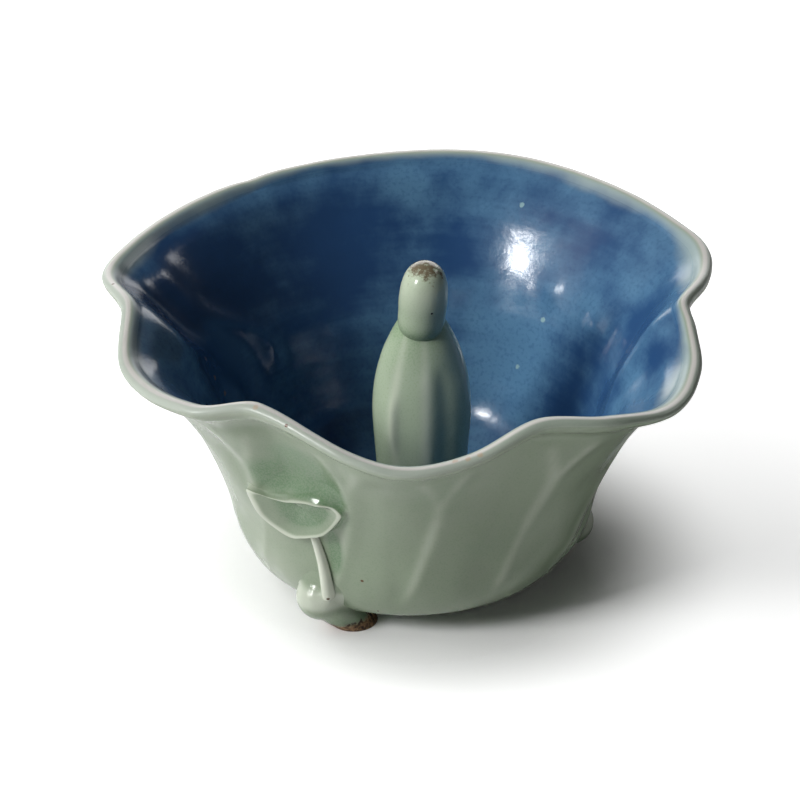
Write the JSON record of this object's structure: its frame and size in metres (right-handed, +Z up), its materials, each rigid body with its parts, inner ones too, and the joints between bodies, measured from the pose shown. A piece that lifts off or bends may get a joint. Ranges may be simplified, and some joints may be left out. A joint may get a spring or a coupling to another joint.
{
  "type": "siphon puzzle cup",
  "caption": "Footed lotus-leaf cup of glazed porcelain with a small robed figure standing inside that hides a siphon, which drains the cup through its base when it is overfilled.",
  "frame": {"origin": "on the table under the middle of the cup's bounding box", "axes": "+Z up, +X to the right and +Y away from the viewer, seen with the leaf spray at the front left"},
  "size_m": [0.0964, 0.0938, 0.0534],
  "materials": {
    "celadon_bowl": "glossy glaze over porcelain, grey-green outside and cobalt blue inside",
    "celadon_robe": "glossy glaze, pooled darker green",
    "celadon_head": "glossy glaze, worn brown on the crown",
    "celadon_pipe": "thin glaze",
    "celadon_leaf": "glossy glaze, pale on the rolled edge",
    "celadon_stem": "glossy glaze, pale on the crest",
    "celadon_foot": "glossy glaze with a gritty brown unglazed sole"
  },
  "bodies": {
    "root": {"leaf_bowl": "celadon_bowl", "robe_shell": "celadon_robe", "figure_head": "celadon_head", "siphon_standpipe": "celadon_pipe", "front_leaf": "celadon_leaf", "right_leaf": "celadon_leaf", "back_leaf": "celadon_leaf", "front_stem": "celadon_stem", "right_stem": "celadon_stem", "back_stem": "celadon_stem", "front_foot": "celadon_foot", "right_foot": "celadon_foot", "back_foot": "celadon_foot"}
  },
  "joints": []
}
